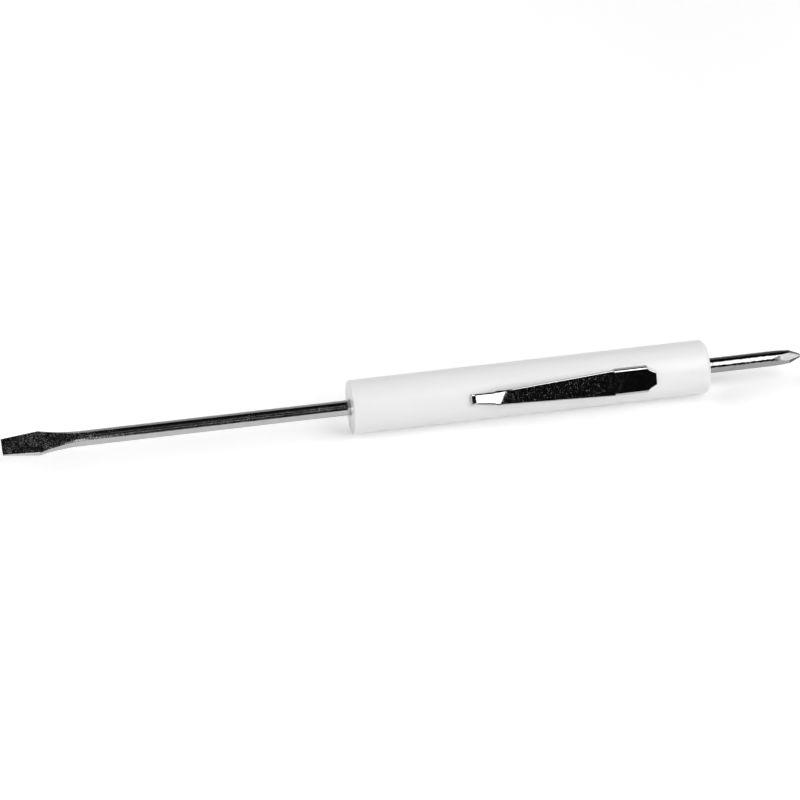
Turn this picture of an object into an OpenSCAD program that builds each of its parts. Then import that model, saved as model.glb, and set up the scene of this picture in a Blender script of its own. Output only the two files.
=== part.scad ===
// Pocket screwdriver: a plain barrel with a slotted blade in one end, a cross-point blade in the other and a
// spring-steel pocket clip on its side. Millimetres.
// The tool lies along X on a flat surface, Z up, with the slotted tip towards -X and the clip on the -Y side.
// The origin is on the axis, at the middle of the barrel's front face.

/* [Barrel] */
// Diameter of the barrel
barrel_d = 11.1; // [10.4:0.1:13]
// Length of the barrel
barrel_len = 74.2; // [70:0.1:90]
// Radius of the edge at the slotted end
front_edge_r = 0.35; // [0.2:0.05:1]
// Radius of the edge at the cross-point end
back_edge_r = 1.3; // [0.6:0.1:2.8]
// Chamfer round the hole that each blade comes out of
mouth_chamfer = 0.3; // [0.1:0.05:0.6]
// Empty length of each hole behind its blade
hole_extra = 1; // [0.5:0.25:2]

/* [Blades] */
// Diameter of both rods
rod_d = 3.175; // [2.9:0.025:3.5]
// Chamfer on the hidden end of each rod
shank_chamfer = 0.3; // [0.1:0.1:0.6]
// Length of the ears that keep a rod from turning
ear_len = 5; // [3:0.5:6]
// How far the ears stand out from the rod
ear_out = 0.7; // [0.3:0.1:1]
// Thickness of the ears
ear_t = 0.9; // [0.6:0.1:1.4]
// Length of barrel between its end and the ears
ear_in = 7; // [5:0.5:9]

/* [Slotted blade] */
// Length outside the barrel
slot_reach = 71; // [50:1:90]
// Depth inside the barrel
slot_seat = 24; // [18:1:28]
// Width at the tip
slot_tip_w = 3.55; // [2.5:0.05:4]
// Thickness at the tip
slot_tip_t = 0.6; // [0.5:0.05:0.8]
// Width at the widest place
slot_flare_w = 4.9; // [4:0.1:5.6]
// Thickness at the widest place
slot_flare_t = 1.5; // [1.1:0.1:1.8]
// Distance from the tip to the widest place
slot_flare_at = 7.6; // [6:0.1:9]
// Distance from the tip to the plain round rod
slot_blend = 17; // [14:0.5:22]
// Angle that the flat faces above level
slot_lift = 62; // [0:1:90]

/* [Cross-point blade] */
// Length outside the barrel
cross_reach = 19.8; // [14:0.1:40]
// Depth inside the barrel
cross_seat = 22; // [18:1:28]
// Diameter of the flat at the point
cross_tip_d = 0.75; // [0.7:0.05:1.1]
// Angle of the point to the axis
cross_angle = 26.5; // [24:0.5:30]
// Distance of the flutes' bottoms from the axis at the point
flute_start = 0.3; // [0.2:0.05:0.35]
// Radius of the wheel that cuts the flutes
flute_wheel_r = 15; // [12:0.5:22]
// Angle that one wing of the cross faces above level
cross_lift = 82; // [0:1:90]

/* [Pocket clip] */
// Thickness of the strip
clip_t = 0.45; // [0.35:0.05:0.45]
// Barrel left bare behind the clip
clip_back = 11.6; // [8:0.1:16]
// Width of the base and of the arm's root
clip_w = 5.4; // [4.8:0.1:5.8]
// Length of the base
base_len = 9; // [7.5:0.1:11]
// Length of the base's flat tongue behind its legs
tongue_len = 1.9; // [1.2:0.1:2.5]
// Width of the tongue behind the legs
tongue_w = 4.6; // [3.6:0.1:4.7]
// Width of the tongue's end
tongue_end_w = 2.6; // [1.5:0.1:3.2]
// Outside radius of the folds
fold_r = 0.5; // [0.5:0.05:0.7]
// Distance from the arm's bend line to the legs
leg_start = 0.3; // [0.3:0.05:0.6]
// Height of the folded legs
leg_h = 3.4; // [2.6:0.1:3.6]
// Taper at each side of a leg's end
leg_taper = 0.7; // [0.2:0.1:1.2]
// Play between a leg and the outer wall of its slot
slot_play = 0.05; // [0.05:0.05:0.25]
// Length of the flat arm before its bend
arm_len = 21.9; // [18:0.1:24]
// Distance from the base to the arm's shoulders
shoulder_at = 24.6; // [20:0.1:28]
// Width of the arm at its shoulders
arm_end_w = 2.85; // [2.6:0.05:3.6]
// Angle of the arm to the barrel
arm_rise = 3.5; // [2.5:0.25:4.5]
// Width of the neck at the shoulders
neck_w = 2.5; // [2.1:0.05:2.55]
// Width of the neck at the foot
foot_w = 2.05; // [1.6:0.05:2.1]
// Width of the lip
lip_w = 2.35; // [2:0.05:3]
// Angle of the neck down to the barrel
neck_dip = 14; // [10:0.5:16]
// Angle of the lip away from the barrel
lip_rise = 20; // [15:1:40]
// Straight length of the lip
lip_len = 0.2; // [0.2:0.1:1.5]
// Middle radius of the bend between the arm and the neck
bend_r = 8; // [4:0.5:12]
// Middle radius of the foot
foot_r = 2; // [0.8:0.1:3]
// Angle that the clip faces above level
clip_lift = 25; // [0:1:90]

/* [Hidden] */
$fn = 96;
eps = 0.01;
// Steps along and round the flattened tip, and along each bend of the strip
loft_steps = 26;
loft_sides = 40;
bend_steps = 10;
// Sharpness of the flattened tip's long edges, how fast these round off and the tip narrows to the rod, and
// the inset that keeps its round end inside the rod
flat_power = 10;
flare_power = 3;
loft_inset = 0.005;
loft_lap = 0.5;
// Gaps under the base, under the foot and in the bend's seat
seat_gap = 0.03;
foot_gap = 0.08;
knuckle_gap = 0.02;
// Depth of a slot beyond its leg
slot_extra = 0.3;
barrel_r = barrel_d / 2;
rod_r = rod_d / 2;
ear_ramp = ear_len / 4;
// How fast the flattened tip thickens up to its widest place, and the length over which it turns into the rod
thin_rate = (slot_flare_t - slot_tip_t) / slot_flare_at;
blend_len = slot_blend - slot_flare_at;
cone_len = (rod_d - cross_tip_d) / 2 / tan(cross_angle);
// The bend line between the clip's base and arm
bend_x = barrel_len - clip_back - base_len;
bend_z = barrel_r + seat_gap + clip_t / 2;
// The arm's middle line, from the bend line towards the slotted end
arm_top = [arm_len * cos(arm_rise), arm_len * sin(arm_rise)];
neck_top = arm_top + bend_r * [sin(arm_rise) + sin(neck_dip), cos(neck_dip) - cos(arm_rise)];
neck_drop = neck_top[1] - foot_r * (1 - cos(neck_dip)) - foot_gap + seat_gap;
foot_start = neck_top + neck_drop / sin(neck_dip) * [cos(neck_dip), -sin(neck_dip)];
foot_mid = foot_start + foot_r * [sin(neck_dip), cos(neck_dip)];
lip_start = foot_mid + foot_r * [sin(lip_rise), -cos(lip_rise)];
lip_end = lip_start + lip_len * [cos(lip_rise), sin(lip_rise)];
plan_lap = 1;

// Turns a shape made along Z to lie along X
module along_x() {
    rotate([0, 90, 0])
        children();
}

// Turns a shape made facing Z to face the -Y side, at an angle above level
module facing(lift) {
    rotate([90 - lift, 0, 0])
        children();
}

// Bar of the rods' size between two places on the axis
module bar(x0, x1) {
    translate([x0, 0, 0])
        along_x()
            cylinder(h = x1 - x0, r = rod_r);
}

// The two ears on a shank, in the level plane
module ears(x0) {
    x1 = x0 + ear_len;
    y1 = rod_r + ear_out;
    translate([0, 0, -ear_t / 2])
        linear_extrude(ear_t)
            polygon([
                [x0, -rod_r], [x0 + ear_ramp, -y1], [x1 - ear_ramp, -y1], [x1, -rod_r],
                [x1, rod_r], [x1 - ear_ramp, y1], [x0 + ear_ramp, y1], [x0, rod_r]
            ]);
}

// Chamfered mouth of a hole, opening towards -X
module mouth() {
    translate([-eps, 0, 0])
        along_x()
            cylinder(h = mouth_chamfer + eps, r1 = rod_r + mouth_chamfer + eps, r2 = rod_r);
}

module barrel_profile() {
    translate([0, front_edge_r])
        square([barrel_r, barrel_len - front_edge_r - back_edge_r]);
    square([barrel_r - front_edge_r, front_edge_r]);
    translate([barrel_r - front_edge_r, front_edge_r])
        circle(front_edge_r);
    translate([0, barrel_len - back_edge_r])
        square([barrel_r - back_edge_r, back_edge_r]);
    translate([barrel_r - back_edge_r, barrel_len - back_edge_r])
        circle(back_edge_r);
}

// Slot for one leg of the clip: tight on the inside, with play elsewhere
module clip_slot() {
    leg_front = bend_x + leg_start;
    leg_back = bend_x + base_len - tongue_len;
    slot_bottom = bend_z + clip_t / 2 - leg_h - slot_extra;
    translate([leg_front - slot_play, clip_w / 2 - clip_t, slot_bottom])
        cube([leg_back - leg_front + 2 * slot_play, clip_t + slot_play, barrel_d]);
}

module barrel() {
    color([0.93, 0.93, 0.92])
        difference() {
            along_x()
                rotate_extrude()
                    barrel_profile();
            bar(-1, slot_seat + hole_extra);
            mouth();
            facing(slot_lift)
                ears(ear_in);
            bar(barrel_len - cross_seat - hole_extra, barrel_len + 1);
            translate([barrel_len, 0, 0])
                mirror([1, 0, 0])
                    mouth();
            facing(cross_lift)
                ears(barrel_len - ear_in - ear_len);
            facing(clip_lift)
                for (side = [0, 1])
                    mirror([0, side, 0])
                        clip_slot();
        }
}

// Chamfer cut on the hidden end of a rod that goes into the barrel towards +X
module shank_end(x) {
    translate([x - shank_chamfer, 0, 0])
        along_x()
            difference() {
                translate([0, 0, eps])
                    cylinder(h = shank_chamfer, r = rod_r + 1);
                cylinder(h = shank_chamfer + 2 * eps, r1 = rod_r, r2 = rod_r - shank_chamfer);
            }
}

// Share of the way from the widest place of the flattened tip to the round rod
function blend_at(d) = min(1, max(0, (d - slot_flare_at) / blend_len));

function tip_half_w(d) =
    d < slot_flare_at
        ? (slot_tip_w + (slot_flare_w - slot_tip_w) * d / slot_flare_at) / 2
        : rod_r + (slot_flare_w / 2 - rod_r) * pow(1 - blend_at(d), flare_power);

// Thickness that rises straight from the tip, then in one smooth sweep that runs out level with the rod
function tip_half_t(d) =
    d < slot_flare_at
        ? (slot_tip_t + thin_rate * d) / 2
        : let (q = blend_at(d), lead = thin_rate * blend_len * q * pow(1 - q, 2))
            (slot_flare_t + lead + (rod_d - slot_flare_t) * q * q * (3 - 2 * q)) / 2;

function tip_power(d) = 2 + (flat_power - 2) * pow(1 - blend_at(d), flare_power);

function rounded(c, power) = sign(c) * pow(abs(c), 2 / power);

// One cross-section of the flattened tip: flat on both faces at the tip, round at the rod
function tip_ring(d) = [
    for (i = [0 : loft_sides - 1])
        let (a = 360 * i / loft_sides, p = tip_power(d))
            [
                d - slot_reach,
                (tip_half_w(d) - loft_inset) * rounded(cos(a), p),
                (tip_half_t(d) - loft_inset) * rounded(sin(a), p)
            ]
];

module flat_tip() {
    rings = [
        for (k = [0 : loft_steps])
            tip_ring(slot_blend * k / loft_steps),
        [for (p = tip_ring(slot_blend)) p + [loft_lap, 0, 0]]
    ];
    last = len(rings) - 1;
    sides = [
        for (k = [0 : last - 1], i = [0 : loft_sides - 1])
            let (j = (i + 1) % loft_sides, a = k * loft_sides, b = a + loft_sides)
                [a + i, b + i, b + j, a + j]
    ];
    front = [for (i = [0 : loft_sides - 1]) i];
    back = [for (i = [loft_sides - 1 : -1 : 0]) last * loft_sides + i];
    polyhedron(points = [for (r = rings) each r], faces = concat(sides, [front], [back]));
}

module slotted_blade() {
    color([0.76, 0.77, 0.79])
        facing(slot_lift)
            difference() {
                union() {
                    flat_tip();
                    bar(slot_blend - slot_reach, slot_seat);
                    ears(ear_in);
                }
                shank_end(slot_seat);
            }
}

// Wheel with a right-angled rim that cuts a flute, deepest at the point
module flute() {
    translate([barrel_len + cross_reach, 0, flute_start + flute_wheel_r])
        rotate([90, 0, 0])
            rotate_extrude()
                polygon([
                    [flute_wheel_r - rod_d, -rod_d], [flute_wheel_r, 0], [flute_wheel_r - rod_d, rod_d]
                ]);
}

module phillips_blade() {
    start = barrel_len - cross_seat;
    end = barrel_len + cross_reach;
    color([0.76, 0.77, 0.79])
        facing(cross_lift)
            difference() {
                union() {
                    bar(start, end - cone_len);
                    translate([end - cone_len, 0, 0])
                        along_x()
                            cylinder(h = cone_len, r1 = rod_r, r2 = cross_tip_d / 2);
                    ears(barrel_len - ear_in - ear_len);
                }
                for (turn = [45 : 90 : 315])
                    rotate([turn, 0, 0])
                        flute();
                translate([start, 0, 0])
                    mirror([1, 0, 0])
                        shank_end(0);
            }
}

// Cross-section of the base: a flat top with a leg folded down at each side
module base_section() {
    top = clip_t / 2;
    half = clip_w / 2;
    fold_in = fold_r - clip_t;
    difference() {
        union() {
            translate([-half, top - leg_h])
                square([clip_w, leg_h - fold_r]);
            translate([fold_r - half, top - leg_h])
                square([clip_w - 2 * fold_r, leg_h]);
            for (side = [-1, 1])
                translate([side * (half - fold_r), top - fold_r])
                    circle(fold_r);
        }
        translate([clip_t - half, top - leg_h - eps])
            square([clip_w - 2 * clip_t, leg_h - fold_r + eps]);
        translate([fold_r - half, top - leg_h - eps])
            square([clip_w - 2 * fold_r, leg_h - clip_t + eps]);
        for (side = [-1, 1])
            translate([side * (half - fold_r), top - fold_r])
                circle(fold_in);
    }
}

// Folded length of the base, with its legs tapering towards their ends
module base_channel() {
    front = leg_start;
    back = base_len - tongue_len;
    top = clip_t / 2;
    intersection() {
        translate([front, 0, 0])
            rotate([90, 0, 90])
                linear_extrude(back - front)
                    base_section();
        rotate([90, 0, 0])
            translate([0, 0, -clip_w])
                linear_extrude(2 * clip_w)
                    polygon([
                        [front, top + 1], [front, -leg_h / 2], [front + leg_taper, top - leg_h],
                        [back - leg_taper, top - leg_h], [back, -leg_h / 2], [back, top + 1]
                    ]);
    }
}

// Flat of the base, with the round seat that the arm turns in and a tongue with cut corners
module base_flat() {
    flat_half = clip_w / 2 - fold_r;
    back = base_len - tongue_len;
    difference() {
        translate([0, 0, -clip_t / 2])
            linear_extrude(clip_t)
                polygon([
                    [0, -clip_w / 2], [leg_start, -clip_w / 2], [leg_start, -flat_half],
                    [back, -flat_half], [back, -tongue_w / 2], [base_len, -tongue_end_w / 2],
                    [base_len, tongue_end_w / 2], [back, tongue_w / 2], [back, flat_half],
                    [leg_start, flat_half], [leg_start, clip_w / 2], [0, clip_w / 2]
                ]);
        rotate([90, 0, 0])
            cylinder(h = clip_w + 1, r = clip_t / 2 + knuckle_gap, center = true);
    }
}

module clip_base() {
    color([0.72, 0.73, 0.75])
        facing(clip_lift)
            translate([bend_x, 0, bend_z]) {
                base_flat();
                base_channel();
            }
}

// Side view of the arm, seen with the bend line at the origin and the tip to the right
module arm_side() {
    line = concat(
        [[0, 0], arm_top],
        [
            for (k = [1 : bend_steps])
                let (a = arm_rise - (arm_rise + neck_dip) * k / bend_steps)
                    arm_top + bend_r * [sin(arm_rise) - sin(a), cos(a) - cos(arm_rise)]
        ],
        [
            for (k = [0 : bend_steps])
                let (a = (neck_dip + lip_rise) * k / bend_steps - neck_dip)
                    foot_mid + foot_r * [sin(a), -cos(a)]
        ],
        [lip_end]
    );
    slopes = concat(
        [arm_rise, arm_rise],
        [for (k = [1 : bend_steps]) arm_rise - (arm_rise + neck_dip) * k / bend_steps],
        [for (k = [0 : bend_steps]) (neck_dip + lip_rise) * k / bend_steps - neck_dip],
        [lip_rise]
    );
    last = len(line) - 1;
    polygon(concat(
        [
            for (k = [1 : bend_steps - 1])
                let (a = 180 * k / bend_steps - arm_rise)
                    clip_t / 2 * [-sin(a), -cos(a)]
        ],
        [for (i = [0 : last]) line[i] + clip_t / 2 * [-sin(slopes[i]), cos(slopes[i])]],
        [for (i = [last : -1 : 0]) line[i] - clip_t / 2 * [-sin(slopes[i]), cos(slopes[i])]]
    ));
}

// Outline of the arm from above, with the bend line at the origin and the tip to the right
module arm_plan() {
    half = [
        [-plan_lap, clip_w / 2], [0, clip_w / 2], [shoulder_at, arm_end_w / 2],
        [shoulder_at + clip_t / 2, neck_w / 2], [foot_mid[0], foot_w / 2], [lip_end[0], lip_w / 2],
        [lip_end[0] + plan_lap, lip_w / 2]
    ];
    last = len(half) - 1;
    polygon(concat(half, [for (i = [last : -1 : 0]) [half[i][0], -half[i][1]]]));
}

module clip_arm() {
    color([0.72, 0.73, 0.75])
        facing(clip_lift)
            translate([bend_x, 0, bend_z])
                mirror([1, 0, 0])
                    intersection() {
                        rotate([90, 0, 0])
                            translate([0, 0, -clip_w])
                                linear_extrude(2 * clip_w)
                                    arm_side();
                        translate([0, 0, -clip_w])
                            linear_extrude(2 * clip_w)
                                arm_plan();
                    }
}

barrel();
slotted_blade();
phillips_blade();
clip_base();
clip_arm();
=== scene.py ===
import math

import bmesh
import bpy
from mathutils import Matrix, Vector


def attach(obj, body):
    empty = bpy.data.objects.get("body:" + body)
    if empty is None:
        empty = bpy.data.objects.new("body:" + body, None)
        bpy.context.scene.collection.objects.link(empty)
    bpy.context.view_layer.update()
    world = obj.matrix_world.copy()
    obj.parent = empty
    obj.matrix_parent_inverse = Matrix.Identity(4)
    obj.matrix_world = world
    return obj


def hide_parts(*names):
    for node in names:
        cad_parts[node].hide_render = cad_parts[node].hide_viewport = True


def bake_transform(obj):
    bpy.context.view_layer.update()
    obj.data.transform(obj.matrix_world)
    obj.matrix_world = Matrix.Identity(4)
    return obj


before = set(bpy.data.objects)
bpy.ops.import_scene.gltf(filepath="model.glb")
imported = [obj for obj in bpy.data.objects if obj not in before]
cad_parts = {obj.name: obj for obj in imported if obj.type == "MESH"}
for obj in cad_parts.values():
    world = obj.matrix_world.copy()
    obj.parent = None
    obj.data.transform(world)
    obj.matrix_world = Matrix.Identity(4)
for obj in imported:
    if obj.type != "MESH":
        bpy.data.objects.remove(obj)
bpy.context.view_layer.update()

# Sizes in millimetres, as in the part's source, and lifts in degrees above level.
# The tool lies along X, with the slotted tip towards -X.
MM = 0.001
PLAY = 0.03

BARREL_R = 5.55
BARREL_LEN = 74.2
FRONT_EDGE_R = 0.35
BACK_EDGE_R = 1.3
MOUTH_CHAMFER = 0.3
MOUTH_EDGE_R = 0.08

ROD_R = 1.5875
BORE_R = ROD_R + PLAY
SHANK_CHAMFER = 0.3
EAR_IN, EAR_LEN, EAR_OUT, EAR_T = 7.0, 5.0, 0.7, 0.9
EAR_ROOT = 0.5

SLOT_REACH = 71.0
SLOT_SEAT = 24.0
SLOT_LIFT = 62.0
SLOT_TIP_W = 3.55
TIP_T = 0.6
FLARE_W = 4.9
FLARE_T = 1.5
FLARE_AT = 7.6
ROUND_AT = 17.0

CROSS_REACH = 19.8
CROSS_SEAT = 22.0
CROSS_LIFT = 82.0
CROSS_TIP_R = 0.375
CROSS_ANGLE = math.radians(26.5)
CROSS_END = BARREL_LEN + CROSS_REACH
CONE_START = CROSS_END - (ROD_R - CROSS_TIP_R) / math.tan(CROSS_ANGLE)
FLUTES = 4
FLUTE_WHEEL_R = 15.0
FLUTE_BOTTOM = 0.3

CLIP_T = 0.45
CLIP_W = 5.4
CLIP_LIFT = 25.0
BASE_LEN = 9.0
TONGUE_LEN = 1.9
TONGUE_W = 4.6
TONGUE_END_W = 2.6
FOLD_R = 0.5
LEG_START = 0.3
LEG_H = 3.4
LEG_TAPER = 0.7
SLOT_PLAY = 0.05
BEND_X = 53.6
BEND_Z = 5.805
LEG_FRONT = BEND_X + LEG_START
LEG_BACK = BEND_X + BASE_LEN - TONGUE_LEN

# Points closer than these, in metres, are one point or make an empty face.
MERGE_DISTANCE = 1e-7
EMPTY_DISTANCE = 1e-8
# Edges sharper than this, in degrees, are shaded sharp.
SHARP_EDGE = 35


def facing(lift):
    """Turns what faces +Z to face the -Y side, at an angle above level."""
    return Matrix.Rotation(math.radians(90 - lift), 4, "X")


# ---------------------------------------------------------------- node helpers
def add(tree, kind, sockets=None, **settings):
    """A new node with its settings, and its sockets set to values or linked to other sockets."""
    made = tree.nodes.new(kind)
    for name, value in settings.items():
        setattr(made, name, value)
    for name, value in (sockets or {}).items():
        if isinstance(value, bpy.types.NodeSocket):
            tree.links.new(value, made.inputs[name])
        else:
            made.inputs[name].default_value = value
    return made


def new_tree(name, kind, inputs, outputs):
    """A node group with named inputs and outputs, given as name: socket type."""
    tree = bpy.data.node_groups.new(name, kind)
    for side, sockets in (("INPUT", inputs), ("OUTPUT", outputs)):
        for label, socket in sockets.items():
            tree.interface.new_socket(label, in_out=side, socket_type="NodeSocket" + socket)
    return tree, add(tree, "NodeGroupInput").outputs, add(tree, "NodeGroupOutput").inputs


def with_tree(obj, tree, values):
    """Adds a Geometry Nodes modifier with its named inputs set."""
    modifier = obj.modifiers.new(tree.name, "NODES")
    modifier.node_group = tree
    for item in tree.interface.items_tree:
        if item.item_type == "SOCKET" and item.in_out == "INPUT" and item.name in values:
            modifier[item.identifier] = values[item.name]


def maths(tree, operation, *values):
    """The result of a Math node."""
    return add(tree, "ShaderNodeMath", dict(enumerate(values)), operation=operation).outputs[0]


def ranged(tree, value, low, high, from_low=0.0, from_high=1.0):
    """A value mapped from one range to another, and kept inside it."""
    sockets = {0: value, 1: from_low, 2: from_high, 3: low, 4: high}
    return add(tree, "ShaderNodeMapRange", sockets, clamp=True).outputs[0]


def mixed(tree, factor, low, high):
    """A colour between two. The Mix node's colours are its inputs 6 and 7 and its output 2."""
    sockets = {0: factor, 6: (*low, 1), 7: (*high, 1)}
    return add(tree, "ShaderNodeMix", sockets, data_type="RGBA").outputs[2]


def noise(tree, vector, scale, detail):
    """A noise value at a place."""
    sockets = {"Vector": vector, "Scale": scale, "Detail": detail}
    return add(tree, "ShaderNodeTexNoise", sockets).outputs[0]


def stretched(tree, vector, scale):
    """A place scaled by its own amount on each axis."""
    sockets = {0: vector, 1: scale}
    return add(tree, "ShaderNodeVectorMath", sockets, operation="MULTIPLY").outputs[0]


def length_of(tree, vector):
    """The length of a vector."""
    return add(tree, "ShaderNodeVectorMath", {0: vector}, operation="LENGTH").outputs["Value"]


def bumped(tree, height, distance):
    """The normal of a surface with a height on it, in metres at a height of 1."""
    sockets = {"Strength": 1.0, "Distance": distance, "Height": height}
    return add(tree, "ShaderNodeBump", sockets).outputs[0]


# ---------------------------------------------------------------- mesh helpers
def mesh_object(name, points, faces=(), edges=()):
    """A new object from points in millimetres."""
    mesh = bpy.data.meshes.new(name)
    mesh.from_pydata([Vector(p) * MM for p in points], edges, faces)
    obj = bpy.data.objects.new(name, mesh)
    bpy.context.scene.collection.objects.link(obj)
    return obj


def apply_modifiers(obj):
    """Keeps what the modifiers make as a plain mesh."""
    found = bpy.context.evaluated_depsgraph_get()
    made = bpy.data.meshes.new_from_object(obj.evaluated_get(found))
    old = obj.data
    obj.modifiers.clear()
    obj.data = made
    bpy.data.meshes.remove(old)
    made.name = obj.name


def finish_mesh(obj, material, sharp=SHARP_EDGE):
    """Closes doubled points, turns the faces outward and shades smooth between sharp edges."""
    made = bmesh.new()
    made.from_mesh(obj.data)
    bmesh.ops.remove_doubles(made, verts=made.verts, dist=MERGE_DISTANCE)
    bmesh.ops.dissolve_degenerate(made, edges=made.edges, dist=EMPTY_DISTANCE)
    bmesh.ops.recalc_face_normals(made, faces=made.faces)
    for face in made.faces:
        face.smooth = True
        face.material_index = 0
    made.to_mesh(obj.data)
    made.free()
    obj.data.set_sharp_from_angle(angle=math.radians(sharp))
    obj.data.materials.clear()
    obj.data.materials.append(material)


def box(name, low, high, turn):
    """A closed box between two corners, turned about the axis."""
    xs, ys, zs = zip(low, high)
    corners = [Vector((x, y, z)) for x in xs for y in ys for z in zs]
    faces = [(0, 1, 3, 2), (4, 6, 7, 5), (0, 4, 5, 1), (2, 3, 7, 6), (0, 2, 6, 4), (1, 5, 7, 3)]
    return mesh_object(name, [turn @ c for c in corners], faces)


def ears(name, start, lift, grow):
    """The two ears of a shank as one closed plate, grown by a gap for the pocket that takes it."""
    x0, x1, ramp = start - grow, start + EAR_LEN + grow, EAR_LEN / 4
    y0, y1, z = ROD_R - EAR_ROOT, ROD_R + EAR_OUT + grow, EAR_T / 2 + grow
    half = [(x0, y0), (x0 + ramp, y1), (x1 - ramp, y1), (x1, y0)]
    plan = [(x, -y) for x, y in half] + [(x, y) for x, y in reversed(half)]
    n = len(plan)
    points = [facing(lift) @ Vector((x, y, s * z)) for s in (-1, 1) for x, y in plan]
    faces = [tuple(reversed(range(n))), tuple(range(n, 2 * n))]
    faces += [(i, (i + 1) % n, n + (i + 1) % n, n + i) for i in range(n)]
    return mesh_object(name, points, faces)


def combine(obj, others, operation):
    """Cuts closed meshes out of a piece, or joins them to it."""
    for other in others:
        modifier = obj.modifiers.new(other.name, "BOOLEAN")
        modifier.operation, modifier.solver, modifier.object = operation, "EXACT", other
    apply_modifiers(obj)
    for other in others:
        mesh = other.data
        bpy.data.objects.remove(other)
        bpy.data.meshes.remove(mesh)


# ---------------------------------------------------------------- geometry node trees
TURNING_R = 1.0 * MM
WHEEL_SIDES = 512


def give_material(tree, last, material, output):
    """Ends a tree: makes its geometry real and gives it a material."""
    real = add(tree, "GeometryNodeRealizeInstances", {"Geometry": last.outputs[0]})
    dressed = add(
        tree, "GeometryNodeSetMaterial", {"Geometry": real.outputs[0], "Material": material}
    )
    tree.links.new(dressed.outputs[0], output)


def turned_tree():
    """Turns an open profile about X. Each point of it has the radius of its rounded edge."""
    tree, given, made = new_tree(
        "turned_on_axis",
        "GeometryNodeTree",
        {"Profile": "Geometry", "Sides": "Int", "Edge Steps": "Int", "Material": "Material"},
        {"Turned": "Geometry"},
    )
    line = add(tree, "GeometryNodeMeshToCurve", {"Mesh": given["Profile"]})
    rounding = add(
        tree, "GeometryNodeInputNamedAttribute", {"Name": "rounding"}, data_type="FLOAT"
    )
    edged = add(
        tree,
        "GeometryNodeFilletCurve",
        {
            "Curve": line.outputs[0],
            "Count": given["Edge Steps"],
            "Radius": rounding.outputs[0],
            "Limit Radius": True,
        },
        mode="POLY",
    )
    circle = add(
        tree,
        "GeometryNodeCurvePrimitiveCircle",
        {"Resolution": given["Sides"], "Radius": TURNING_R},
    )
    swept = add(
        tree,
        "GeometryNodeCurveToMesh",
        {"Curve": circle.outputs[0], "Profile Curve": edged.outputs[0]},
    )
    laid = add(
        tree,
        "GeometryNodeTransform",
        {"Geometry": swept.outputs[0], "Rotation": (0, math.pi / 2, 0)},
    )
    merged = add(
        tree,
        "GeometryNodeMergeByDistance",
        {"Geometry": laid.outputs[0], "Distance": MERGE_DISTANCE},
    )
    give_material(tree, merged, given["Material"], made["Turned"])
    return tree


def turned(name, tree, profile, sides, steps, material):
    """A piece turned from a profile of (place along X, radius, rounding) in millimetres."""
    points = [(r - TURNING_R / MM, -x, 0) for x, r, _ in profile]
    obj = mesh_object(name, points, edges=[(i, i + 1) for i in range(len(points) - 1)])
    rounding = obj.data.attributes.new("rounding", "FLOAT", "POINT")
    for i, (_, _, r) in enumerate(profile):
        rounding.data[i].value = r * MM
    with_tree(obj, tree, {"Sides": sides, "Edge Steps": steps, "Material": material})
    apply_modifiers(obj)
    return obj


def fluted_tree():
    """Cuts flutes into a blade's point with a right-angled wheel, repeated round the axis."""
    tree, given, made = new_tree(
        "fluted_point",
        "GeometryNodeTree",
        {
            "Blade": "Geometry",
            "Flutes": "Int",
            "First Turn": "Float",
            "Wheel Radius": "Float",
            "Rim Depth": "Float",
            "Point": "Float",
            "Flute Bottom": "Float",
            "Material": "Material",
        },
        {"Fluted": "Geometry"},
    )

    def vector(x=0.0, y=0.0, z=0.0):
        return add(tree, "ShaderNodeCombineXYZ", {0: x, 1: y, 2: z}).outputs[0]

    back = maths(tree, "MULTIPLY", given["Rim Depth"], -1.0)
    rim = add(
        tree,
        "GeometryNodeCurvePrimitiveQuadrilateral",
        {
            "Point 1": vector(back, back),
            "Point 2": vector(),
            "Point 3": vector(back, given["Rim Depth"]),
            "Point 4": vector(back),
        },
        mode="POINTS",
    )
    circle = add(
        tree,
        "GeometryNodeCurvePrimitiveCircle",
        {"Resolution": WHEEL_SIDES, "Radius": given["Wheel Radius"]},
    )
    wheel = add(
        tree,
        "GeometryNodeCurveToMesh",
        {"Curve": circle.outputs[0], "Profile Curve": rim.outputs[0]},
    )
    height = maths(tree, "ADD", given["Wheel Radius"], given["Flute Bottom"])
    placed = add(
        tree,
        "GeometryNodeTransform",
        {
            "Geometry": wheel.outputs[0],
            "Translation": vector(given["Point"], 0.0, height),
            "Rotation": (math.pi / 2, 0, 0),
        },
    )
    points = add(tree, "GeometryNodePoints", {"Count": given["Flutes"]})
    number = add(tree, "GeometryNodeInputIndex").outputs[0]
    step = maths(tree, "DIVIDE", 2 * math.pi, given["Flutes"])
    turn = maths(tree, "ADD", maths(tree, "MULTIPLY", number, step), given["First Turn"])
    round_axis = add(
        tree,
        "GeometryNodeInstanceOnPoints",
        {"Points": points.outputs[0], "Instance": placed.outputs[0], "Rotation": vector(turn)},
    )
    wheels = add(tree, "GeometryNodeRealizeInstances", {"Geometry": round_axis.outputs[0]})
    cut = add(tree, "GeometryNodeMeshBoolean", operation="DIFFERENCE", solver="EXACT")
    tree.links.new(given["Blade"], cut.inputs["Mesh 1"])
    tree.links.new(wheels.outputs[0], cut.inputs["Mesh 2"])
    give_material(tree, cut, given["Material"], made["Fluted"])
    return tree


# ---------------------------------------------------------------- materials
# Steel: shared marks. Heights are in metres.
LINE_STRETCH, LINE_SCALE = (0.02, 1.0, 1.0), 9000.0
CLOUD_SCALE = 420.0
SPECKLE_WIDTH = 0.15
PATCH_FROM, PATCH_TO = 0.42, 0.62
STEEL_HEIGHT = 1e-5
STEEL_DARK, STEEL_LIGHT = (0.43, 0.43, 0.435), (0.47, 0.47, 0.475)
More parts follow.
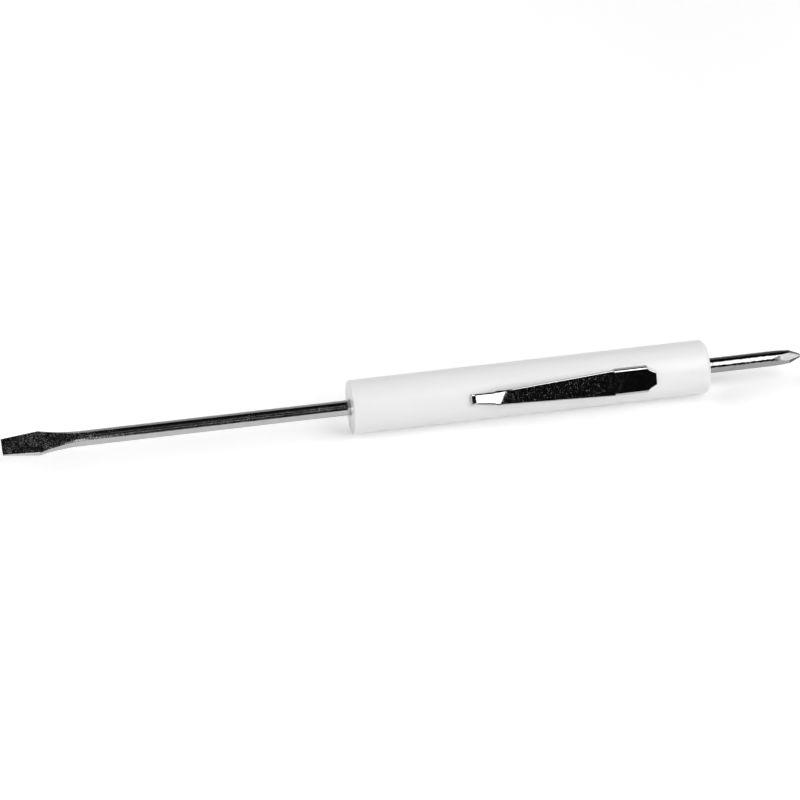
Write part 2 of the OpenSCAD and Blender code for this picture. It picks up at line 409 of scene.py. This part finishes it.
# Steel: tones of the cross point's lands and of the rod before them, and of the clip's rim; the
# lands and the rim are painted shade
LAND_PAINTED_SHADE, ROD_TONE, RIM_PAINTED_SHADE = 0.3, 0.75, 0.02
LAND_DEPTH = 0.06 * MM
# Plastic
MOTTLE_SCALE = 160.0
PEEL_SCALE, PEEL_HEIGHT = 900.0, 2e-6
SCUFF_STRETCH, SCUFF_SCALE = (0.06, 1.0, 1.0), 2600.0
SCUFF_FROM, SCUFF_TO = 0.6, 0.75
SCUFF_HEIGHT, SCUFF_ROUGHNESS = -0.12, 0.12
PLASTIC_ROUGHNESS = (0.27, 0.30)
PLASTIC_DARK, PLASTIC_LIGHT = (0.85, 0.85, 0.85), (0.86, 0.86, 0.86)
PLASTIC_IOR = 1.49


def grain_group():
    """Marks of plated steel as one height and two masks.

    The height is a fine grain, drawn lines along X and a slow waviness."""
    tree, given, made = new_tree(
        "plating_grain",
        "ShaderNodeTree",
        {
            "Vector": "Vector",
            "Grain Scale": "Float",
            "Grain": "Float",
            "Lines": "Float",
            "Waviness": "Float",
            "Pit Scale": "Float",
            "Speckle Level": "Float",
        },
        {"Height": "Float", "Speckle": "Float", "Cloud": "Float"},
    )
    place = given["Vector"]
    grain = noise(tree, place, given["Grain Scale"], 2.0)
    pits = noise(tree, place, given["Pit Scale"], 2.0)
    above = maths(tree, "SUBTRACT", pits, given["Speckle Level"])
    speckle = ranged(tree, above, 0.0, 1.0, 0.0, SPECKLE_WIDTH)
    lines = noise(tree, stretched(tree, place, LINE_STRETCH), LINE_SCALE, 2.0)
    cloud = noise(tree, place, CLOUD_SCALE, 3.0)
    height = maths(tree, "MULTIPLY", grain, given["Grain"])
    height = maths(tree, "ADD", height, maths(tree, "MULTIPLY", lines, given["Lines"]))
    height = maths(tree, "ADD", height, maths(tree, "MULTIPLY", cloud, given["Waviness"]))
    tree.links.new(height, made["Height"])
    tree.links.new(speckle, made["Speckle"])
    tree.links.new(cloud, made["Cloud"])
    return tree


def new_material(name):
    """A material with no shader yet, the place on the object and the output."""
    mat = bpy.data.materials.new(name)
    mat.use_nodes = True
    tree = mat.node_tree
    tree.nodes.clear()
    place = add(tree, "ShaderNodeTexCoord").outputs["Object"]
    out = add(tree, "ShaderNodeOutputMaterial")
    return mat, tree, place, out


def along_x(tree, place):
    """The X of a place."""
    return add(tree, "ShaderNodeSeparateXYZ", {0: place}).outputs[0]


def point_shade(tree, place):
    """Tone of the cross-point rod: painted shade on the lands of its cone, and a little dark before
    them.
    """
    place_x = along_x(tree, place)
    radius = length_of(tree, stretched(tree, place, (0, 1, 1)))
    cone_r = ranged(
        tree, place_x, ROD_R * MM, CROSS_TIP_R * MM, CONE_START * MM, CROSS_END * MM
    )
    below = maths(tree, "SUBTRACT", cone_r, radius)
    # The lands of the cone are painted darker: painted shade.
    land = ranged(tree, below, LAND_PAINTED_SHADE, 1.0, LAND_DEPTH / 2, LAND_DEPTH)
    rod = ranged(tree, place_x, ROD_TONE, 0.0, CONE_START * MM - LAND_DEPTH, CONE_START * MM)
    return maths(tree, "MAXIMUM", land, rod)


def rim_painted_shade(tree, place):
    """Tone of the clip: a painted shadow line, dark where its own rim attribute is 1."""
    rim = add(tree, "ShaderNodeAttribute", attribute_name="rim")
    return ranged(tree, rim.outputs["Fac"], 1.0, RIM_PAINTED_SHADE)


def plated_steel(name, marks, rough, worn, painted_glint=(1.0, 1.0), tone=1.0, shade=None):
    """Bright plated steel with its own amounts of the shared marks.

    The pairs in worn are values at two places along X, except patch, which is between clouds.
    A shade is a function that gives the tone of each place, here painted shade. The fleck pair
    scales the colour of the specks, a painted glint where it is above 1."""
    mat, tree, place, out = new_material(name)
    place_x = along_x(tree, place)
    grain = add(tree, "ShaderNodeGroup", node_tree=GRAIN)
    tree.links.new(place, grain.inputs["Vector"])
    for label, value in marks.items():
        grain.inputs[label].default_value = value
    tree.links.new(ranged(tree, place_x, *worn["grain"], *worn["along"]), grain.inputs["Grain"])
    height, speckle, cloud = grain.outputs
    patch = ranged(tree, cloud, *worn["patch"], PATCH_FROM, PATCH_TO)
    patchy = maths(tree, "MULTIPLY", speckle, patch)
    dull = ranged(tree, place_x, *worn["dull"], *worn["along"])
    polished = ranged(tree, speckle, *rough)
    # Specks take their own colour, lighter where the pair is above 1: painted glints. Their
    # roughness is real.
    tone = maths(tree, "MULTIPLY", tone, ranged(tree, speckle, *painted_glint))
    if shade:
        tone = maths(tree, "MULTIPLY", tone, shade(tree, place))
    toned = add(
        tree,
        "ShaderNodeVectorMath",
        {0: mixed(tree, cloud, STEEL_DARK, STEEL_LIGHT), "Scale": tone},
        operation="SCALE",
    )
    steel = add(
        tree,
        "ShaderNodeBsdfPrincipled",
        {
            "Base Color": toned.outputs[0],
            "Metallic": 1.0,
            "Roughness": maths(tree, "MULTIPLY_ADD", dull, patchy, polished),
            "Normal": bumped(tree, height, STEEL_HEIGHT),
        },
    )
    tree.links.new(steel.outputs[0], out.inputs[0])
    return mat


def barrel_plastic():
    """Moulded white plastic with a faint mottle, a fine peel and short scuffs along X."""
    mat, tree, place, out = new_material("barrel_plastic")
    mottle = noise(tree, place, MOTTLE_SCALE, 3.0)
    peel = noise(tree, place, PEEL_SCALE, 2.0)
    scuffs = noise(tree, stretched(tree, place, SCUFF_STRETCH), SCUFF_SCALE, 3.0)
    scuff = ranged(tree, scuffs, 0.0, 1.0, SCUFF_FROM, SCUFF_TO)
    height = maths(tree, "MULTIPLY_ADD", scuff, SCUFF_HEIGHT, peel)
    even = ranged(tree, mottle, *PLASTIC_ROUGHNESS)
    plastic = add(
        tree,
        "ShaderNodeBsdfPrincipled",
        {
            "Base Color": mixed(tree, mottle, PLASTIC_DARK, PLASTIC_LIGHT),
            "Roughness": maths(tree, "MULTIPLY_ADD", scuff, SCUFF_ROUGHNESS, even),
            "IOR": PLASTIC_IOR,
            "Normal": bumped(tree, height, PEEL_HEIGHT),
        },
    )
    tree.links.new(plastic.outputs[0], out.inputs[0])
    return mat


GRAIN = grain_group()
WHITE_PLASTIC = barrel_plastic()
SLOTTED_STEEL = plated_steel(
    "slotted_steel",
    {
        "Grain Scale": 4500.0,
        "Lines": 0.0,
        "Waviness": 2.0,
        "Pit Scale": 6000.0,
        "Speckle Level": 0.49,
    },
    (0.08, 0.12),
    {"along": (-0.055, -0.046), "grain": (1.8, 0.9), "dull": (0.23, 0.06), "patch": (0.85, 1.6)},
)
CROSS_STEEL = plated_steel(
    "cross_steel",
    {
        "Grain Scale": 2200.0,
        "Lines": 0.0,
        "Waviness": 2.0,
        "Pit Scale": 5000.0,
        "Speckle Level": 0.5,
    },
    (0.08, 0.12),
    {"along": (0.0875, 0.0895), "grain": (3.4, 1.0), "dull": (0.0, 0.0), "patch": (1.0, 1.0)},
    tone=0.96,
    shade=point_shade,
)
CLIP_STEEL = plated_steel(
    "clip_steel",
    {
        "Grain Scale": 4200.0,
        "Lines": 0.03,
        "Waviness": 0.6,
        "Pit Scale": 5000.0,
        "Speckle Level": 0.555,
    },
    (0.06, 0.09),
    {"along": (0.05, 0.056), "grain": (1.0, 0.5), "dull": (0.24, 0.1), "patch": (0.9, 1.1)},
    # Lighter specks on the clip: painted glints on its pits.
    painted_glint=(0.95, 1.3),
    # The clip's neck gets a painted shadow line along its lower rim.
    shade=rim_painted_shade,
)


# ---------------------------------------------------------------- barrel
BARREL_SIDES, BARREL_EDGE_STEPS = 256, 14
# Room past the end of each blade in its hole, and rings of the barrel beside the leg slots
HOLE_ROOM = 1
RING_ROOM = 2
# The leg slots go deeper than the legs, bite a little into their inside and are cut from outside
LEG_ROOM = 0.3
LEG_BITE = 0.01
CUTTER_TOP = 7.5
CROSS_EARS_AT = BARREL_LEN - EAR_IN - EAR_LEN

turning = turned_tree()
slot_hole, cross_hole = SLOT_SEAT + HOLE_ROOM, BARREL_LEN - CROSS_SEAT - HOLE_ROOM
slot_bottom = BEND_Z + CLIP_T / 2 - LEG_H - LEG_ROOM
slot_in, slot_out = CLIP_W / 2 - CLIP_T - LEG_BITE, CLIP_W / 2 + SLOT_PLAY
barrel = turned(
    "barrel_body",
    turning,
    [
        (slot_hole, 0, 0),
        (slot_hole, BORE_R, 0),
        (MOUTH_CHAMFER, BORE_R, MOUTH_EDGE_R),
        (0, BORE_R + MOUTH_CHAMFER, MOUTH_EDGE_R),
        (0, BARREL_R, FRONT_EDGE_R),
        (LEG_FRONT - RING_ROOM, BARREL_R, 0),
        (LEG_BACK + RING_ROOM, BARREL_R, 0),
        (BARREL_LEN, BARREL_R, BACK_EDGE_R),
        (BARREL_LEN, BORE_R + MOUTH_CHAMFER, MOUTH_EDGE_R),
        (BARREL_LEN - MOUTH_CHAMFER, BORE_R, MOUTH_EDGE_R),
        (cross_hole, BORE_R, 0),
        (cross_hole, 0, 0),
    ],
    BARREL_SIDES,
    BARREL_EDGE_STEPS,
    WHITE_PLASTIC,
)
finish_mesh(barrel, WHITE_PLASTIC)
cutters = [
    box(
        "leg_slot_%d" % side,
        (LEG_FRONT - SLOT_PLAY, min(side * slot_in, side * slot_out), slot_bottom),
        (LEG_BACK + SLOT_PLAY, max(side * slot_in, side * slot_out), CUTTER_TOP),
        facing(CLIP_LIFT),
    )
    for side in (-1, 1)
]
cutters.append(ears("front_pocket", EAR_IN, SLOT_LIFT, PLAY))
cutters.append(ears("back_pocket", CROSS_EARS_AT, CROSS_LIFT, PLAY))
combine(barrel, cutters, "DIFFERENCE")
finish_mesh(barrel, WHITE_PLASTIC)


# ---------------------------------------------------------------- slotted blade
ROD_SIDES = 128
TIP_BEVEL = 0.05
# Powers of the section's outline: 2 is an ellipse, and higher ones are squarer
ROUND_POWER, FLAT_POWER = 2, 12
# Rings of the mesh: the first whole one of the tip, those of the blend and those of the rod
TIP_RING = 0.3
BLEND_RINGS = 110
FIRST_ROD_RING = 0.5
ROD_RINGS = (-40, -20, -0.5, 8, 16)


def tip_section(d):
    """Half width, half thickness and power of the flattened tip, at a distance from its end."""
    thin = (FLARE_T - TIP_T) / FLARE_AT
    if d <= FLARE_AT:
        wide = SLOT_TIP_W + (FLARE_W - SLOT_TIP_W) * d / FLARE_AT
        return wide / 2, (TIP_T + thin * d) / 2, FLAT_POWER
    blend = ROUND_AT - FLARE_AT
    q = min(1, (d - FLARE_AT) / blend)
    lead = thin * blend * q * (1 - q) ** 2
    thick = FLARE_T + lead + (2 * ROD_R - FLARE_T) * q * q * (3 - 2 * q)
    half_w = ROD_R + (FLARE_W / 2 - ROD_R) * (1 - q) ** 3
    return half_w, thick / 2, ROUND_POWER + (FLAT_POWER - ROUND_POWER) * (1 - q) ** 3


def tip_ring(x, half_w, half_t, power):
    """Points round the blade at a place along X."""
    points = []
    for i in range(ROD_SIDES):
        a = 2 * math.pi * i / ROD_SIDES
        c, s = math.cos(a), math.sin(a)
        k = (abs(c) ** power + abs(s) ** power) ** (-1 / power)
        points.append(facing(SLOT_LIFT) @ Vector((x, half_w * k * c, half_t * k * s)))
    return points


def slotted_blade():
    """The slotted blade from rings of points, with the ears of its shank."""
    half_w, half_t, power = tip_section(0)
    rings = [tip_ring(-SLOT_REACH, half_w - TIP_BEVEL, half_t - TIP_BEVEL, power)]
    blend = ROUND_AT - TIP_RING
    places = [TIP_BEVEL, TIP_RING]
    places += [TIP_RING + blend * k / BLEND_RINGS for k in range(1, BLEND_RINGS + 1)]
    rings += [tip_ring(d - SLOT_REACH, *tip_section(d)) for d in places]
    round_x = ROUND_AT - SLOT_REACH
    for x in (round_x + FIRST_ROD_RING, *ROD_RINGS, SLOT_SEAT - SHANK_CHAMFER):
        rings.append(tip_ring(x, ROD_R, ROD_R, ROUND_POWER))
    end_r = ROD_R - SHANK_CHAMFER
    rings.append(tip_ring(SLOT_SEAT, end_r, end_r, ROUND_POWER))
    points = [point for ring in rings for point in ring]
    faces = []
    for k in range(len(rings) - 1):
        here, there = k * ROD_SIDES, (k + 1) * ROD_SIDES
        for i in range(ROD_SIDES):
            j = (i + 1) % ROD_SIDES
            faces.append((here + i, here + j, there + j, there + i))
    last = (len(rings) - 1) * ROD_SIDES
    faces += [tuple(reversed(range(ROD_SIDES))), tuple(range(last, last + ROD_SIDES))]
    obj = mesh_object("slotted_rod", points, faces)
    finish_mesh(obj, SLOTTED_STEEL)
    combine(obj, [ears("slotted_ears", EAR_IN, SLOT_LIFT, 0)], "UNION")
    finish_mesh(obj, SLOTTED_STEEL)
    return obj


slotted = slotted_blade()


# ---------------------------------------------------------------- cross-point blade
POINT_EDGE_STEPS = 8
CONE_EDGE_R, POINT_EDGE_R = 0.2, 0.1
POINT_SHARP_EDGE = 20
# Rings of the rod: one just inside the barrel and one before the point
RING_INSIDE, RING_BEFORE = 1, 8

cross_start = BARREL_LEN - CROSS_SEAT
cross = turned(
    "cross_rod",
    turning,
    [
        (cross_start, 0, 0),
        (cross_start, ROD_R - SHANK_CHAMFER, 0),
        (cross_start + SHANK_CHAMFER, ROD_R, 0),
        (BARREL_LEN - RING_INSIDE, ROD_R, 0),
        (CROSS_END - RING_BEFORE, ROD_R, 0),
        (CONE_START, ROD_R, CONE_EDGE_R),
        (CROSS_END, CROSS_TIP_R, POINT_EDGE_R),
        (CROSS_END, 0, 0),
    ],
    ROD_SIDES,
    POINT_EDGE_STEPS,
    CROSS_STEEL,
)
finish_mesh(cross, CROSS_STEEL)
with_tree(
    cross,
    fluted_tree(),
    {
        "Flutes": FLUTES,
        "First Turn": math.radians(90 - CROSS_LIFT + 180 / FLUTES),
        "Wheel Radius": FLUTE_WHEEL_R * MM,
        "Rim Depth": 2 * ROD_R * MM,
        "Point": CROSS_END * MM,
        "Flute Bottom": FLUTE_BOTTOM * MM,
        "Material": CROSS_STEEL,
    },
)
apply_modifiers(cross)
combine(cross, [ears("cross_ears", CROSS_EARS_AT, CROSS_LIFT, 0)], "UNION")
finish_mesh(cross, CROSS_STEEL, POINT_SHARP_EDGE)


# ---------------------------------------------------------------- pocket clip
ARM_RISE = math.radians(3.5)
NECK_DIP = math.radians(14.0)
LIP_RISE = math.radians(20.0)
ARM_LEN = 21.9
BEND_R = 8.0
FOOT_R = 2.0
LIP_LEN = 0.2
FOOT_RISE = 0.05
# Places along the arm, from the bend line towards the tip, and the arm's width there
SHOULDER, FOOT_AT, LIP_AT = 24.6, 28.80, 29.67
SHOULDER_STEP = CLIP_T / 2
ARM_END_W, NECK_W, FOOT_W, LIP_W = 2.85, 2.5, 2.05, 2.35
ARM_WIDTH = [
    (0, CLIP_W),
    (SHOULDER, ARM_END_W),
    (SHOULDER + SHOULDER_STEP, NECK_W),
    (FOOT_AT, FOOT_W),
    (LIP_AT, LIP_W),
]
# Along the arm: how far its bends run askew, and how far its edges are rolled over
BEND_SKEW = [(16, 0), (20, 0.5), (24.0, 0.5), (26.4, 0)]
FOOT_SKEW, FOOT_FROM = 0.1, 26.4
LOWER_ROLLED = [(24.2, 0), (24.9, 0.13), (29.7, 0.13)]
UPPER_ROLLED = [(0.5, 0), (2, 0.055), (23.5, 0.055), (24.9, 0.13), (29.7, 0.13)]
ROLL_WIDTH = 0.22
# Along the arm: how dark the lower rim of the neck is, a painted shadow line along its edge
LOWER_RIM_PAINTED_SHADE = [(23.2, 0), (23.9, 1), (28.1, 1), (28.6, 0)]
# Rounding of the sheet's edges sharper than an angle, the room it has on the sheet, and how near
# to the ends of the legs it stops
EDGE_R = 0.2
EDGE_STEPS = 4
EDGE_ANGLE = math.radians(50)
EDGE_ROOM = 0.23
LEG_CORNER = 0.12
# Rows along the strip, and columns from its middle line to each side
TONGUE_ROWS, BASE_ROWS, START_ROWS, ARM_ROWS, BEND_ROWS = 6, 22, 6, 40, 20
SHOULDER_ROWS, NECK_ROWS, FOOT_ROWS = 6, 14, 14
MIDDLE, FOLD, LEG = 6, 6, 6


def on_line(line, u):
    """Value on a line of (place, value) points."""
    for (a, low), (b, high) in zip(line, line[1:]):
        if u <= b:
            return low + (high - low) * max(0, u - a) / (b - a)
    return line[-1][1]


def clip_path():
    """Points of the strip's middle line from the tongue to the lip.

    Each is (place towards the tip, height, slope). Those too near the end are left out."""
    u, z, slope = -BASE_LEN, 0.0, 0.0
    path = [(u, z, slope)]

    def straight(length, steps):
        nonlocal u, z
        for _ in range(steps):
            u, z = u + length / steps * math.cos(slope), z + length / steps * math.sin(slope)
            path.append((u, z, slope))

    def bend(radius, turn, steps):
        nonlocal u, z, slope
        for _ in range(steps):
            mid = slope + turn / steps / 2
            chord = 2 * radius * math.sin(abs(turn) / steps / 2)
            u, z = u + chord * math.cos(mid), z + chord * math.sin(mid)
            slope += turn / steps
            path.append((u, z, slope))

    straight(TONGUE_LEN, TONGUE_ROWS)
    straight(BASE_LEN - TONGUE_LEN - LEG_START, BASE_ROWS)
    bend(2 * LEG_START / ARM_RISE, ARM_RISE, START_ROWS)
    straight(ARM_LEN - LEG_START, ARM_ROWS)
    bend(BEND_R, -ARM_RISE - NECK_DIP, BEND_ROWS)
    neck_len = (z - FOOT_R * (1 - math.cos(NECK_DIP)) - FOOT_RISE) / math.sin(NECK_DIP)
    to_shoulder = (SHOULDER - u) / math.cos(NECK_DIP)
    step = SHOULDER_STEP / math.cos(NECK_DIP)
    straight(to_shoulder, SHOULDER_ROWS)
    straight(step, 1)
    straight(neck_len - to_shoulder - step, NECK_ROWS)
    bend(FOOT_R, NECK_DIP + LIP_RISE, FOOT_ROWS)
    straight(LIP_LEN, 1)
    end = path[-1]
    return [p for p in path[:-1] if math.dist(p[:2], end[:2]) > EDGE_ROOM] + [end]


def arm_height(path, u, y):
    """Height of the strip away from its middle line, with its bends askew."""
    last, top, slope = path[-1]
    middle = [(a, z) for a, z, _ in path] + [(last + 1, top + math.tan(slope))]
    if u < FOOT_FROM:
        return on_line(middle, u + on_line(BEND_SKEW, u) * y)
    return on_line(middle, u - FOOT_SKEW * y) - FOOT_SKEW * y * math.tan(NECK_DIP)


def weigh_edges(obj, flat):
    """Marks the sheet's edges that are rounded, but not the tight corners at the legs' ends."""
    made = bmesh.new()
    made.from_mesh(obj.data)
    weight = made.edges.layers.float.new("bevel_weight_edge")
    back = facing(CLIP_LIFT).inverted()
    in_corner = set()
    for vert in made.verts:
        place = back @ (vert.co / MM)
        from_leg = min(abs(place.x - LEG_FRONT), abs(place.x - LEG_BACK))
        if from_leg < LEG_CORNER and abs(place.y) > flat - EDGE_R:
            in_corner.add(vert)
    for edge in made.edges:
        sharp = len(edge.link_faces) == 2 and edge.calc_face_angle() > EDGE_ANGLE
        edge[weight] = float(sharp and not in_corner.issuperset(edge.verts))
    made.to_mesh(obj.data)
    made.free()


def clip_sheet(flat):
    """Points of the clip's sheet, its faces and how dark each point's painted rim shadow is."""
    fold_mid = FOLD_R - CLIP_T / 2
    leg_len = LEG_H - FOLD_R
    leg_middle = -(BASE_LEN - TONGUE_LEN + LEG_START) / 2
    leg_half = (BASE_LEN - TONGUE_LEN - LEG_START) / 2
    tongue_taper = [(-BASE_LEN, TONGUE_END_W / TONGUE_W), (TONGUE_LEN - BASE_LEN, 1)]
    path = clip_path()
    bent = TONGUE_ROWS + BASE_ROWS
    points, rim, index = [], [], {}

    def point(i, j, u, y, z, dark=0.0):
        """A point of the sheet in row i and column j, at a height above the base, with its painted
        rim shadow.
        """
        rim.append(dark)
        index[i, j] = len(points)
        points.append(facing(CLIP_LIFT) @ Vector((BEND_X - u, y, BEND_Z + z)))

    def arm_side(i, u, s):
        outer = on_line(ARM_WIDTH, u) / 2
        rolled = on_line(UPPER_ROLLED if s > 0 else LOWER_ROLLED, u)
        # The lower rim of the neck takes a painted shadow line.
        dark = on_line(LOWER_RIM_PAINTED_SHADE, u) if s < 0 else 0.0
        for k, (y, drop) in enumerate(((outer - ROLL_WIDTH, 0), (outer, rolled)), 1):
            height = arm_height(path, u, s * y) - drop
            point(i, s * (MIDDLE + k), u, s * y, height, dark)

    def leg_side(i, u, s):
        for k in range(1, FOLD + 1):
            a = math.pi / 2 * k / FOLD
            y, z = flat + fold_mid * math.sin(a), fold_mid * (math.cos(a) - 1)
            point(i, s * (MIDDLE + k), u, s * y, z)
        for k in range(1, LEG + 1):
            down = fold_mid + leg_len * k / LEG
            tapered = max(0, (down - LEG_H / 2) / (fold_mid + leg_len - LEG_H / 2))
            place = leg_middle + (u - leg_middle) * (1 - LEG_TAPER * tapered / leg_half)
            point(i, s * (MIDDLE + FOLD + k), place, s * (flat + fold_mid), -down)

    for i, (u, _, _) in enumerate(path):
        if i > bent:
            inner = (on_line(ARM_WIDTH, u) / 2 - ROLL_WIDTH) * flat / (CLIP_W / 2)
        elif i >= TONGUE_ROWS:
            inner = flat
        else:
            inner = TONGUE_W / 2 * on_line(tongue_taper, u) - 2 * EDGE_ROOM
        for j in range(-MIDDLE, MIDDLE + 1):
            y = inner * j / MIDDLE
            point(i, j, u, y, arm_height(path, u, y))
        for s in (-1, 1):
            if i > bent:
                arm_side(i, u, s)
            elif i >= TONGUE_ROWS:
                leg_side(i, u, s)
            else:
                for k in (1, 2):
                    point(i, s * (MIDDLE + k), u, s * (inner + EDGE_ROOM * k), 0)
    faces = []
    for i, j in index:
        if i == bent and not -MIDDLE <= j < MIDDLE:
            continue
        corners = [(i, j), (i + 1, j), (i + 1, j + 1), (i, j + 1)]
        if all(c in index for c in corners):
            faces.append(tuple(index[c] for c in corners))
    return points, faces, rim


def pocket_clip():
    """The clip as one strip: its sheet, made thick and with its edges rounded."""
    flat = CLIP_W / 2 - FOLD_R
    points, faces, rim = clip_sheet(flat)
    obj = mesh_object("clip_strip", points, faces)
    # The rim attribute carries the painted shadow line of the neck's lower rim.
    obj.data.attributes.new("rim", "FLOAT", "POINT").data.foreach_set("value", rim)
    sheet = obj.modifiers.new("sheet", "SOLIDIFY")
    sheet.thickness, sheet.offset, sheet.use_even_offset = CLIP_T * MM, 0.0, True
    apply_modifiers(obj)
    weigh_edges(obj, flat)
    edge = obj.modifiers.new("edge", "BEVEL")
    edge.width, edge.segments, edge.limit_method = EDGE_R * MM, EDGE_STEPS, "WEIGHT"
    edge.use_clamp_overlap = False
    apply_modifiers(obj)
    finish_mesh(obj, CLIP_STEEL)
    return obj


clip = pocket_clip()


for piece, nodes, finish in (
    (barrel, ["barrel"], "barrel_plastic"),
    (slotted, ["slotted_blade"], "blade_steel"),
    (cross, ["phillips_blade"], "blade_steel"),
):
    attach(piece, "handle")
    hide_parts(*nodes)
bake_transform(clip)
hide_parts("clip_base", "clip_arm")


# ---------------------------------------------------------------- stage
# The floor, and a low white wall behind and at both sides that closes the view behind it
GROUND_Z = -BARREL_R
FLOOR_SIDE, FLOOR_FRONT, FLOOR_BACK = 5000, -4000, 6000
WALL_R, WALL_H, WALL_SIDES = 3400, 350, 96
WALL_START, WALL_TURN = -30, 240
MATT_WHITE = (0.8, 0.8, 0.8, 1)
# How bright the ground glows at the two ends of the tool, a painted falloff of light, dimmer at the
# cross-point end. It is full white far from the tool.
FLOOR_SHOWN, WALL_SHOWN = (0.42, 0.30), (0.95, 0.95)
SHOWN_ALONG = (-0.06, 0.1)
WHITE_FROM, WHITE_TO = 0.6, 1.6


def lit_ground(name, shown):
    """White ground: a matt surface that takes shadows, bright to the camera and in the metal."""
    mat, tree, place, out = new_material(name)
    ray = add(tree, "ShaderNodeLightPath").outputs
    seen = maths(tree, "MAXIMUM", ray["Is Camera Ray"], ray["Is Glossy Ray"])
    seen = maths(tree, "MAXIMUM", seen, ray["Is Transmission Ray"])
    matt = add(tree, "ShaderNodeBsdfDiffuse", {"Color": MATT_WHITE})
    # The glow dims along X: a painted falloff of light.
    near = ranged(tree, along_x(tree, place), *shown, *SHOWN_ALONG)
    far = ranged(tree, length_of(tree, place), 0, 1, WHITE_FROM, WHITE_TO)
    level = maths(tree, "MAXIMUM", near, far)
    strength = maths(tree, "MULTIPLY", seen, level)
    glow = add(tree, "ShaderNodeEmission", {"Strength": strength})
    both = add(tree, "ShaderNodeAddShader", {0: matt.outputs[0], 1: glow.outputs[0]})
    tree.links.new(both.outputs[0], out.inputs[0])
    return mat


floor = mesh_object(
    "floor",
    [
        (-FLOOR_SIDE, FLOOR_FRONT, GROUND_Z),
        (FLOOR_SIDE, FLOOR_FRONT, GROUND_Z),
        (FLOOR_SIDE, FLOOR_BACK, GROUND_Z),
        (-FLOOR_SIDE, FLOOR_BACK, GROUND_Z),
    ],
    [(0, 1, 2, 3)],
)
floor.data.materials.append(lit_ground("floor_white", FLOOR_SHOWN))

ring = [math.radians(WALL_START + WALL_TURN * i / WALL_SIDES) for i in range(WALL_SIDES + 1)]
wall = mesh_object(
    "low_wall",
    [
        (WALL_R * math.cos(a), WALL_R * math.sin(a), GROUND_Z + z)
        for z in (0, WALL_H)
        for a in ring
    ],
    [(i, WALL_SIDES + 1 + i, WALL_SIDES + 2 + i, i + 1) for i in range(WALL_SIDES)],
)
wall.data.materials.append(lit_ground("wall_white", WALL_SHOWN))

# Lamps in metres: place, the point that each faces, width, height and radiance
LAMPS = {
    "key_softbox": ((0.57, -0.447, 0.663), (0.57, 0, 0), 0.76, 0.712, 3.8),
    "right_softbox": ((1.017, -0.438, 0.409), (0.094, 0, 0), 0.5, 0.28, 1.5),
    "left_softbox": ((-0.28, -0.871, 0.230), (0.02, 0, 0), 0.5, 0.49, 3.7),
    "top_left_softbox": ((-0.75, 0.15, 0.75), (-0.1, 0, 0), 0.7, 0.7, 3.3),
    "top_right_softbox": ((0.90, 0.40, 0.75), (0.1, 0, 0), 0.7, 0.7, 1.6),
    "back_left_softbox": ((-0.375, 1.2, 0.62), (-0.375, 0, 0), 1.25, 1.2, 0.55),
    "back_right_softbox": ((0.725, 1.2, 0.62), (0.725, 0, 0), 0.95, 1.2, 0.2),
    "strip_light": ((0.06, -0.342, 0.94), (0.06, 0, 0), 0.20, 0.05, 0.45),
    "low_strip_light": ((0.025, -0.63, 0.492), (0.025, 0, 0), 0.15, 0.04, 0.8),
}
SKY_STRENGTH = 0.005


def softbox(name, place, to, width, height, radiance):
    """A rectangular lamp with its width level, facing a point."""
    data = bpy.data.lights.new(name, "AREA")
    data.shape, data.size, data.size_y = "RECTANGLE", width, height
    data.energy = radiance * math.pi * width * height
    obj = bpy.data.objects.new(name, data)
    obj.location = place
    obj.rotation_euler = (Vector(to) - Vector(place)).to_track_quat("-Z", "Y").to_euler()
    bpy.context.scene.collection.objects.link(obj)


for lamp, values in LAMPS.items():
    softbox(lamp, *values)

world = bpy.data.worlds.new("studio")
bpy.context.scene.world = world
world.use_nodes = True
sky_tree = world.node_tree
sky_tree.nodes.clear()
sky = add(sky_tree, "ShaderNodeBackground", {"Color": (1, 1, 1, 1), "Strength": SKY_STRENGTH})
sky_tree.links.new(sky.outputs[0], add(sky_tree, "ShaderNodeOutputWorld").inputs[0])

# ---------------------------------------------------------------- camera
# The camera's angles, its focal length in the photo's pixels, and the point at the picture's middle
ELEVATION, SWING = math.radians(37.5), math.radians(10.754)
FOCAL_PIXELS, PHOTO_PIXELS, SENSOR_W = 4923.5, 800, 36
AIM_X, AIM_UP = 10.355, 0.316
CAMERA_AWAY = 1000
CLIP_START, CLIP_END = 0.05, 50

level_x, level_y = math.sin(SWING), math.cos(SWING)
out_level, out_up = math.cos(ELEVATION), math.sin(ELEVATION)
away = Vector((-level_x * out_level, -level_y * out_level, out_up))
up = Vector((level_x * out_up, level_y * out_up, out_level))
aim = Vector((AIM_X, 0, 0)) + AIM_UP * up
lens = bpy.data.cameras.new("camera")
lens.lens, lens.sensor_width = FOCAL_PIXELS * SENSOR_W / PHOTO_PIXELS, SENSOR_W
lens.clip_start, lens.clip_end = CLIP_START, CLIP_END
camera = bpy.data.objects.new("camera", lens)
camera.location = (aim + CAMERA_AWAY * away) * MM
camera.rotation_mode = "QUATERNION"
camera.rotation_quaternion = (-away).to_track_quat("-Z", "Y")
bpy.context.scene.collection.objects.link(camera)
bpy.context.scene.camera = camera
bpy.context.scene.view_settings.view_transform = "Standard"
